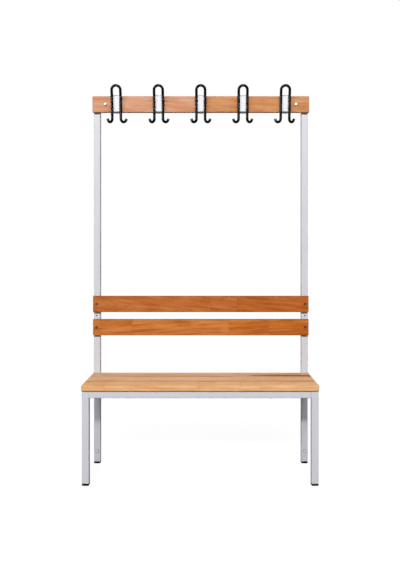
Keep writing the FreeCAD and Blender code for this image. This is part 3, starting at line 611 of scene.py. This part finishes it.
def beech(
    piece, name, tones, pith, taper, slant, first_tone, joints, seed, thickness_axis="Y", gaps=(),
    heart=None,
):
    """Lacquered beech. The tones are early wood, late wood, and the painted shade at the edges.
    The pith is a line along X, at (y, z) in metres. The slant is how many degrees the grain falls
    to the right, and each joint is its x and the tone of what follows. Gaps are the sides, +1 to
    the back and -1 to the front, that face another slat and take painted shade. The heart is the
    place of a streak, as heart_streak has it."""
    # The edge tone is the colour of the painted shade at the edges.
    early, late, edge = tones
    low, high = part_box(piece)
    finish, tree, place = new_finish(name)
    own, own_tone, glue = staves(tree, place, thickness_axis, first_tone, joints, seed)
    slanting = add(
        tree, "ShaderNodeVectorRotate",
        {"Vector": place, "Center": (low + high) / 2, "Angle": math.radians(-slant)},
        rotation_type="Y_AXIS",
    )
    wood = shifted(tree, slanting, own, STAVE_SHIFT)
    ring, belt = ring_lines(tree, wood, pith, taper, seed)
    dash = ray_dashes(tree, wood)

    depth = add(tree, MATH, ring, RING_DEPTH, operation="MULTIPLY")
    depth = add(tree, MATH, belt, BELT_DEPTH, depth, operation="MULTIPLY_ADD")
    noises = {}
    # The rings have taken the first two seeds.
    for number, (layer, (look, counts, weight)) in enumerate(LAYERS.items(), 2):
        noises[layer] = stretched(tree, wood, *look, seed + number)
        sharp = add(tree, MAP_RANGE, noises[layer], *counts, 0.0, 1.0, **SMOOTH)
        depth = add(tree, MATH, sharp, weight, depth, operation="MULTIPLY_ADD")
    colour = add(tree, MIX, {SHARE: depth, UNDER: linear(early), OVER: linear(late)}, **COLOUR)

    rays = add(tree, MATH, dash, RAY_SHOWS, operation="MULTIPLY")
    marks = [(TINT, own_tone, STAVE_TONE), (COLOUR, rays, RAY), (COLOUR, glue, GLUE)]
    if heart:
        shows = heart_streak(tree, place, noises["fibre"], noises["streak"], **heart)
        marks.append((COLOUR, shows, HEART))
    # Painted shade on the slat's edges.
    marks.append((COLOUR, shade_near_edge(tree, place, low, high), edge))
    # Painted shade where seat slats face each other.
    for side in gaps:
        face = high.y if side > 0 else low.y
        marks.append((TINT, shade_near_gap(tree, place, face), GAP_SHADE_TONE))
    for way, shows, shade in marks:
        colour = add(tree, MIX, {SHARE: shows, UNDER: colour, OVER: linear(shade)}, **way)

    relief = add(tree, MATH, dash, RAY_SINKS, noises["fibre"], operation="MULTIPLY_ADD")
    bump = add(
        tree, "ShaderNodeBump",
        {"Height": relief, "Distance": FIBRE_HEIGHT_MM * MILLIMETRE, "Strength": FIBRE_STRENGTH},
    )
    surface(tree, colour, ring, SATIN, {"Normal": bump, "Specular IOR Level": LACQUER_SPECULAR})
    return finish


# The last tone of each set is the painted shade on the slat's edges.
SEAT_TONES = ("FCD2A8", "DCA278", "B27C54")
CUTS = {
    "seat_slat_front": dict(
        name="lacquered_beech_seat_front", tones=("F6CA9A", "DEA26C", "C08450"),
        pith=(-0.11, 0.33), taper=0.03, slant=0.5, seed=11.0, thickness_axis="Z", gaps=(1,),
        first_tone=0.35, joints=(
            (-0.4, 0.1), (-0.287, 0.2), (-0.005, 0.1), (0.057, 0.0), (0.172, 0.1), (0.258, 0.05),
        ),
    ),
    "seat_slat_middle": dict(
        name="lacquered_beech_seat_middle", tones=SEAT_TONES, pith=(0.02, 0.34), taper=0.02,
        slant=0.0, seed=23.0, thickness_axis="Z", gaps=(-1, 1), first_tone=0.3,
        joints=((-0.22, 0.15), (0.19, 0.35)),
    ),
    "seat_slat_rear": dict(
        name="lacquered_beech_seat_rear", tones=SEAT_TONES, pith=(0.10, 0.36), taper=0.025,
        slant=0.0, seed=37.0, thickness_axis="Z", gaps=(-1,), first_tone=0.1,
        joints=((-0.34, 0.3), (-0.04, 0.1), (0.25, 0.3)),
        heart=dict(begins=0.15, full=0.32, y=0.071, half_width=0.019),
    ),
    "back_slat_lower": dict(
        name="lacquered_beech_back_lower", tones=("DA9050", "AE5A12", "8C4A20"),
        pith=(0.16, 0.64), taper=0.035, slant=-2.0, seed=41.0, first_tone=0.3,
        joints=((-0.32, 0.1), (0.13, 0.65), (0.316, 0.9)),
    ),
    "back_slat_upper": dict(
        name="lacquered_beech_back_upper", tones=("CE8246", "A85414", "8A461C"),
        pith=(0.19, 0.70), taper=0.03, slant=5.0, seed=59.0, first_tone=0.05,
        joints=((0.043, 0.2), (0.168, 0.7)),
    ),
    "hook_board": dict(
        name="lacquered_beech_board", tones=("E6B694", "C8845C", "A0623C"), pith=(0.21, 1.62),
        taper=0.02, slant=1.0, seed=67.0, first_tone=0.0, joints=((0.0, 0.75),),
    ),
}
woods = {piece: beech(piece, **cut) for piece, cut in CUTS.items()}
print(len(woods), "woods, each with its own place in a tree")

# %% [markdown]
# ## Who wears what
# Each solid piece keeps its mesh and only changes the material in its slot.

# %% Finishes on the solid pieces
HOOK_NUMBERS = range(1, 6)
worn = {
    powder_coat: (
        "front_leg_left", "front_leg_right", "side_rail_left", "side_rail_right", "front_rail",
        "rear_rail", "board_bracket_left", "board_bracket_right",
    ),
    upright_coat: ("upright_left", "upright_right"),
    black_plastic: (
        "foot_front_left", "foot_front_right", "foot_rear_left", "foot_rear_right",
        "upright_cap_left", "upright_cap_right",
    ),
    hook_dip: [f"wire_hook_{number}" for number in HOOK_NUMBERS],
    clip_coat: [f"hook_clip_{number}" for number in HOOK_NUMBERS],
    grey_plastic: ("wall_hole_plugs",),
    zinc: (
        "board_bolts", "board_washers", "board_nuts", "rivet_nuts", "seat_screws",
        "clip_screws_top", "clip_screws_under",
    ),
    dark_oxide: ("back_slat_screws",),
    **{wood: (piece,) for piece, wood in woods.items()},
}
left_out = set(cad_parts)
for finish, names in worn.items():
    for name in names:
        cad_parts[name].material_slots[0].material = finish
        left_out.remove(name)
print("pieces still without a finish:", sorted(left_out))

# %% [markdown]
# ## Grown pieces
# What repeats, or follows a path, is made with Geometry Nodes: a small program of nodes that
# turns a starting mesh into the finished one. Its sizes are named inputs, so a reader can open
# the tree and change a pitch or a diameter. The result is then kept as a plain mesh.

# %% Growing a mesh with a node tree
FLOAT, INTEGER = "NodeSocketFloat", "NodeSocketInt"
VECTOR, ROTATION = "NodeSocketVector", "NodeSocketRotation"


def new_tree(name, sizes):
    """Starts a geometry tree whose inputs are these named sizes, each with its type and value.
    Gives the tree, and the outputs of its first node: the seed mesh and the sizes."""
    tree = bpy.data.node_groups.new(name, "GeometryNodeTree")
    tree.interface.new_socket("Seed mesh", in_out="INPUT", socket_type="NodeSocketGeometry")
    for label, (kind, value) in sizes.items():
        tree.interface.new_socket(label, in_out="INPUT", socket_type=kind).default_value = value
    tree.interface.new_socket("Grown mesh", in_out="OUTPUT", socket_type="NodeSocketGeometry")
    return tree, add(tree, "NodeGroupInput").outputs


def finish_tree(tree, geometry, finish, smooth=True):
    """Ends a tree: instances become real, faces are shaded smooth and take their material."""
    real = add(tree, "GeometryNodeRealizeInstances", geometry)
    shaded = add(tree, "GeometryNodeSetShadeSmooth", {0: real, "Shade Smooth": smooth})
    coated = add(tree, "GeometryNodeSetMaterial", {0: shaded, "Material": finish})
    add(tree, "NodeGroupOutput", coated)


def grow(name, seed_mesh, tree, sizes, finish):
    """Runs the tree on the starting mesh and keeps what grew as one plain mesh piece."""
    piece = bpy.data.objects.new(name, seed_mesh)
    bpy.context.scene.collection.objects.link(piece)
    modifier = piece.modifiers.new(name, "NODES")
    modifier.node_group = tree
    for item in tree.interface.items_tree:
        if item.in_out == "INPUT" and item.name in sizes:
            modifier[item.identifier] = sizes[item.name][1]
    bpy.context.view_layer.update()
    depsgraph = bpy.context.evaluated_depsgraph_get()
    grown = bpy.data.meshes.new_from_object(piece.evaluated_get(depsgraph), depsgraph=depsgraph)
    piece.modifiers.remove(modifier)
    piece.data = grown
    grown.name = name
    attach(piece, "root")
    grown.materials.clear()
    grown.materials.append(finish)
    print(f"{name}: {len(grown.polygons)} faces in {finish.name}")
    return piece


print("ready to grow meshes")

# %% [markdown]
# ## Wire hooks
# Each hook is one steel wire, 12.5 mm thick with its coating, bent into a loop at the top and two
# curled prongs below. A bending machine makes only straight runs and arcs, so the path here is
# drawn the same way: a start, a heading, and then runs and bends. Half a hook is enough, because
# the other half is its mirror image.

# %% The path of half a hook
HOOK_SPREAD = 0.040
HOOK_LEAN = math.radians(8.3)
LOOP_LEAN = math.radians(18)
LOOP_RISE = 0.023
LOOP_BEND = 0.040
PRONG_DROP = 0.031
PRONG_RADIUS = 0.0145
PRONG_TURN = math.radians(157)
PRONG_YAW = math.radians(38)
WIRE_RADIUS = 0.00625
LAST_RING = 0.0001  # a ring this near the end keeps the tip's edge crisp under smooth shading
CLIP_SHEET, CLIP_GAP = 0.002, 0.00015
WIRE_GAP = 0.0001
STEP = 0.002


class WirePath:
    """A line of points laid by runs and bends, as a wire bender makes them."""

    def __init__(self, start, heading):
        self.points = [Vector(start)]
        self.heading = Vector(heading).normalized()

    def run(self, length):
        """Goes straight on."""
        start = self.points[-1]
        count = max(1, round(length / STEP))
        self.points += [start + self.heading * length * i / count for i in range(1, count + 1)]

    def bend(self, toward, radius, turn):
        """Goes on along an arc that turns toward a direction."""
        start, heading = self.points[-1], self.heading.copy()
        side = (Vector(toward) - heading * heading.dot(Vector(toward))).normalized()
        count = max(2, round(radius * turn / STEP))
        for i in range(1, count + 1):
            angle = turn * i / count
            on, over = radius * math.sin(angle), radius * (1 - math.cos(angle))
            self.points.append(start + heading * on + side * over)
        self.heading = heading * math.cos(turn) + side * math.sin(turn)


board_low, board_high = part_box("hook_board")
board_width = board_high.z - board_low.z
loop_turn = LOOP_LEAN - HOOK_LEAN
bend_reach = LOOP_BEND * math.tan(loop_turn / 2)
plate = CLIP_GAP + CLIP_SHEET / math.cos(HOOK_LEAN)
wire_back = (WIRE_RADIUS + WIRE_GAP) / math.cos(HOOK_LEAN)
foot_point = (HOOK_SPREAD / 2, -plate - wire_back, 0)
rising = WirePath(foot_point, (0, -math.sin(HOOK_LEAN), math.cos(HOOK_LEAN)))
rising.run(board_width / math.cos(HOOK_LEAN) - bend_reach)
rising.bend((0, -1, 0), LOOP_BEND, loop_turn)
rising.run(LOOP_RISE / math.cos(LOOP_LEAN) - bend_reach)
rising.bend((-1, 0, 0), HOOK_SPREAD / 2, math.radians(90))
falling = WirePath(foot_point, (0, math.sin(HOOK_LEAN), -math.cos(HOOK_LEAN)))
falling.run(PRONG_DROP / math.cos(HOOK_LEAN))
falling.bend((math.cos(PRONG_YAW), math.sin(PRONG_YAW), 0), PRONG_RADIUS, PRONG_TURN)
falling.run(WIRE_RADIUS - LAST_RING)
falling.run(LAST_RING)
half = falling.points[::-1] + rising.points[1:]
mirrored = [Vector((-point.x, point.y, point.z)) for point in half[-2::-1]]
hook_path = half + mirrored
print(f"{len(hook_path)} points along the wire of one hook")

# %% [markdown]
# The tree sweeps a circle along the path and closes its two ends with flat discs. Then it sets
# five copies along the board at an even pitch. The solid hooks have rounded tips instead.

# %% The hooks
WIRE_SIDES = 28


def edge_mesh(name, lines):
    """A mesh of bare edges: one chain of points for each line."""
    points, edges = [], []
    for line in lines:
        first = len(points)
        points += [tuple(point) for point in line]
        edges += [(i, i + 1) for i in range(first, len(points) - 1)]
    mesh = bpy.data.meshes.new(name)
    mesh.from_pydata(points, edges, [])
    return mesh


def swept(tree, path, sides, radius):
    """Sweeps a circle along a path."""
    circle = add(
        tree, "GeometryNodeCurvePrimitiveCircle", {"Resolution": sides, "Radius": radius}
    )
    return add(
        tree, "GeometryNodeCurveToMesh",
        {"Curve": path, "Profile Curve": circle, "Fill Caps": True},
    )


first_hook, last_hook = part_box("wire_hook_1"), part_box("wire_hook_5")
first_middle = (first_hook[0].x + first_hook[1].x) / 2
last_middle = (last_hook[0].x + last_hook[1].x) / 2
hook_sizes = {
    "Hook count": (INTEGER, len(HOOK_NUMBERS)),
    "Hook pitch": (FLOAT, (last_middle - first_middle) / (len(HOOK_NUMBERS) - 1)),
    "First hook": (VECTOR, (first_middle, board_low.y, board_low.z)),
    "Wire radius": (FLOAT, WIRE_RADIUS),
    "Sides": (INTEGER, WIRE_SIDES),
}
tree, sizes = new_tree("bent_wire_hooks", hook_sizes)
path = add(tree, "GeometryNodeMeshToCurve", sizes["Seed mesh"])
wire = swept(tree, path, sizes["Sides"], sizes["Wire radius"])
step = add(tree, "ShaderNodeCombineXYZ", sizes["Hook pitch"])
places = add(
    tree, "GeometryNodeMeshLine",
    {"Count": sizes["Hook count"], "Start Location": sizes["First hook"], "Offset": step},
)
hooks = add(tree, "GeometryNodeInstanceOnPoints", {"Points": places, "Instance": wire})
finish_tree(tree, hooks, hook_dip)
wire_hooks = grow(
    "wire_hooks", edge_mesh("hook_path", [hook_path]), tree, hook_sizes, hook_dip
)
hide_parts(*[f"wire_hook_{number}" for number in HOOK_NUMBERS])
grown_low = Vector([min(v.co[i] for v in wire_hooks.data.vertices) for i in range(3)])
grown_high = Vector([max(v.co[i] for v in wire_hooks.data.vertices) for i in range(3)])
off_low, off_high = (grown_low - first_hook[0]).length, (grown_high - last_hook[1]).length
print("off the solid hooks by", off_low, off_high)

# %% [markdown]
# ## Weld beads
# The rails are welded to the legs before the frame is sprayed, so the beads have the tubes' own
# colour. The outer faces are ground flush on such furniture, so beads show only in the inner
# corners: under the rails, behind them, and round the brackets of the hook board. Each is a plain
# round rod, part sunk in its corner. The fine ripples of a real bead are left out.

# %% Where the beads run
BEAD_RADIUS = 0.0021
BEAD_SINK = 0.0009
TUBE_INSET = 0.004
BRACKET_INSET_FRONT, BRACKET_INSET_BACK = 0.006, 0.001


def seams():
    """Lines in the corners where tubes meet, each with its two ends a little in from the tube's."""
    post_low, post_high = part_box("upright_right")
    leg_low, leg_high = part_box("front_leg_right")
    rail_low, rail_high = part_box("front_rail")
    bracket_low, bracket_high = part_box("board_bracket_right")
    inner, outer = post_low.x, post_high.x
    under = rail_low.z - BEAD_SINK
    near, far = bracket_low.y + BRACKET_INSET_FRONT, bracket_high.y - BRACKET_INSET_BACK
    lines = []
    for side in (-1, 1):
        across = [side * (inner + TUBE_INSET), side * (outer - TUBE_INSET)]
        within = side * (inner - BEAD_SINK)
        for y, out in ((leg_high.y, 1), (post_low.y, -1)):
            face = y + out * BEAD_SINK
            lines.append([(x, face, under) for x in across])
            lines.append([(within, face, z) for z in (rail_low.z, rail_high.z - TUBE_INSET)])
        for low, high in ((leg_low.y, leg_high.y), (post_low.y, post_high.y)):
            lines.append([(within, y, under) for y in (low + TUBE_INSET, high - TUBE_INSET)])
        for z, out in ((bracket_low.z, -1), (bracket_high.z, 1)):
            lines.append([(within, y, z + out * BEAD_SINK) for y in (near, far)])
    return lines


print(len(seams()), "beads")

# %% The beads
BEAD_SIDES = 12

# Close rings keep the shading even, up to the very ends of a bead.
bead_sizes = {"Bead radius": (FLOAT, BEAD_RADIUS), "Ring spacing": (FLOAT, 0.0005)}
tree, sizes = new_tree("weld_beads", bead_sizes)
path = add(tree, "GeometryNodeMeshToCurve", sizes["Seed mesh"])
dense = add(
    tree, "GeometryNodeResampleCurve", {"Curve": path, "Length": sizes["Ring spacing"]},
    mode="LENGTH",
)
bead = swept(tree, dense, BEAD_SIDES, sizes["Bead radius"])
finish_tree(tree, bead, powder_coat)
grow("weld_beads", edge_mesh("seams", seams()), tree, bead_sizes, powder_coat)

# %% [markdown]
# ## Screws
# The solid model's screws are plain. A real one has a drive: a six-sided socket in the back
# rest's pan heads, and a cross in the small wood screws. One function turns a screw on a lathe
# from a list of rings, with rings that may be round, six-sided or cross-shaped, and the node
# tree sets a copy at each hole.

# %% A screw from rings
SCREW_SIDES = 48
CROSS_CORE = 0.32  # the narrow part of a cross, as a share of its reach
SOCKET = ((0.55, 0.35), (1.0, 0.45), (1.0, 0.93))  # shares of the drive's radius and the rise
SOCKET_RIM = 1.35
CROWN_DEGREES = (80, 60, 40, 20, 0)
CROWN_FLAT, CROWN_FOOT = 0.72, 0.4  # shares of the head's radius and the rise
POINT_TAPER = 0.8
SCREWS = {
    "back_screw": dict(
        shape="hexagon", drive=0.0019, head=0.00525, rise=0.0035, shank=0.003, length=0.024
    ),
    "seat_screw": dict(
        shape="cross", drive=0.0026, head=0.005, rise=0.003, shank=0.0025, length=0.048, tip=1.0
    ),
    "clip_screw": dict(
        shape="cross", drive=0.0021, head=0.00375, rise=0.0024, shank=0.002, length=0.01615,
        tip=1.0,
    ),
}


def ring_radius(shape, radius, angle):
    """How far a ring reaches at an angle, for a round, six-sided or cross-shaped ring."""
    if shape == "hexagon":
        sector = math.radians(60)
        return radius / math.cos((angle % sector) - sector / 2)
    if shape == "cross":
        return radius * (CROSS_CORE + (1 - CROSS_CORE) * abs(math.cos(2 * angle)) ** 3)
    return radius


def turned(name, rings):
    """Makes a closed mesh from rings of (shape, radius, height), from the first one to the last."""
    made = bmesh.new()
    rows = []
    for shape, radius, height in rings:
        row = []
        for side in range(SCREW_SIDES):
            angle = 2 * math.pi * side / SCREW_SIDES
            reach = ring_radius(shape, radius, angle)
            row.append(made.verts.new((reach * math.cos(angle), reach * math.sin(angle), height)))
        rows.append(row)
    for low, high in zip(rows, rows[1:]):
        for i in range(SCREW_SIDES):
            j = (i + 1) % SCREW_SIDES
            made.faces.new((low[i], low[j], high[j], high[i]))
    made.faces.new(rows[0][::-1])
    made.faces.new(rows[-1])
    bmesh.ops.recalc_face_normals(made, faces=made.faces)
    mesh = bpy.data.meshes.new(name)
    made.to_mesh(mesh)
    made.free()
    return mesh


def pan_head(shape, drive, head, rise, shank, length, tip=0.0):
    """Rings of a pan-head screw on its seat at height 0, from the socket's floor to the end."""
    rings = [(shape, drive * wide, rise * up) for wide, up in SOCKET]
    rings.append(("round", drive * SOCKET_RIM, rise))
    for degrees in CROWN_DEGREES:
        wide, up = math.cos(math.radians(degrees)), math.sin(math.radians(degrees))
        wide, up = CROWN_FLAT + (1 - CROWN_FLAT) * wide, CROWN_FOOT + (1 - CROWN_FOOT) * up
        rings.append(("round", head * wide, rise * up))
    rings += [("round", head, 0.0), ("round", shank, 0.0)]
    rings.append(("round", shank, -length + 2 * shank * tip))
    rings.append(("round", shank * (1 - POINT_TAPER * tip), -length))
    return rings


screws = {name: turned(name, pan_head(**sizes)) for name, sizes in SCREWS.items()}
print("screws with", [len(mesh.polygons) for mesh in screws.values()], "faces")

# %% [markdown]
# The holes are where the solid screws are. A solid piece can hold several screws in one mesh of
# loose triangles, so the triangles that touch are gathered first, in the order of the mesh. Each
# copy then gets a random turn of its own, because nobody lines up the slots of screws. The fixed
# order and the seed keep these turns the same in every run.

# %% A copy at each hole
SAME_PLACE = 1e-6
TURN_SEED = 7
# Where a head points: its turn from upright, its axis, and which end of the box it is at
HEAD_UP = ((0, 0, 0), "z", "high")
HEAD_DOWN = ((math.radians(180), 0, 0), "z", "low")
HEAD_TO_FRONT = ((math.radians(90), 0, 0), "y", "low")
SCREW_SETS = {
    # piece: (the node it stands for, screw, where the head points, finish, slot)
    "back_screws_with_sockets": (
        "back_slat_screws", "back_screw", HEAD_TO_FRONT, dark_oxide, "dark_screw"
    ),
    "seat_screws_with_crosses": ("seat_screws", "seat_screw", HEAD_DOWN, zinc, "zinc"),
    "clip_screws_top_with_crosses": ("clip_screws_top", "clip_screw", HEAD_UP, zinc, "zinc"),
    "clip_screws_under_with_crosses": ("clip_screws_under", "clip_screw", HEAD_DOWN, zinc, "zinc"),
}


def solid_boxes(name):
    """The box of each separate solid of a node, from groups of touching triangles."""
    merged = bmesh.new()
    merged.from_mesh(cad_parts[name].data)
    bmesh.ops.remove_doubles(merged, verts=merged.verts, dist=SAME_PLACE)
    seen, boxes = set(), []
    for start in merged.verts:
        if start in seen:
            continue
        seen.add(start)
        group = [start]
        for vert in group:  # the group grows while it is read
            fresh = {edge.other_vert(vert) for edge in vert.link_edges} - seen
            seen |= fresh
            group += fresh
        low = [min(v.co[i] for v in group) for i in range(3)]
        high = [max(v.co[i] for v in group) for i in range(3)]
        boxes.append((Vector(low), Vector(high)))
    merged.free()
    return boxes


def set_screws(name, node, screw, pointing, finish, slot):
    """Sets a screw at every solid of a node, with its head at that solid's end."""
    turn, axis, end = pointing
    rise = SCREWS[screw]["rise"]
    spots = []
    for low, high in solid_boxes(node):
        spot = (low + high) / 2
        seat = getattr(high, axis) - rise if end == "high" else getattr(low, axis) + rise
        setattr(spot, axis, seat)
        spots.append(tuple(spot))
    holes = bpy.data.meshes.new(f"{name}_holes")
    holes.from_pydata(spots, [], [])
    tree, sizes = new_tree(f"{name}_set", {"Turn": (ROTATION, turn)})
    pattern = bpy.data.objects.new(f"{name}_pattern", screws[screw])
    shape = add(tree, "GeometryNodeObjectInfo", {"Object": pattern}).outputs["Geometry"]
    spin = add(
        tree, "FunctionNodeRandomValue", {2: 0.0, 3: 2 * math.pi, "Seed": TURN_SEED},
        data_type="FLOAT",
    )
    own_turn = add(tree, "FunctionNodeAxisAngleToRotation", {"Angle": spin})
    both = add(
        tree, "FunctionNodeRotateRotation", sizes["Turn"], own_turn, rotation_space="LOCAL"
    )
    copies = add(
        tree, "GeometryNodeInstanceOnPoints",
        {"Points": sizes["Seed mesh"], "Instance": shape, "Rotation": both},
    )
    finish_tree(tree, copies, finish, smooth=False)
    piece = grow(name, holes, tree, {}, finish)
    bpy.data.objects.remove(pattern)
    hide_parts(node)


for name, screw_set in SCREW_SETS.items():
    set_screws(name, *screw_set)
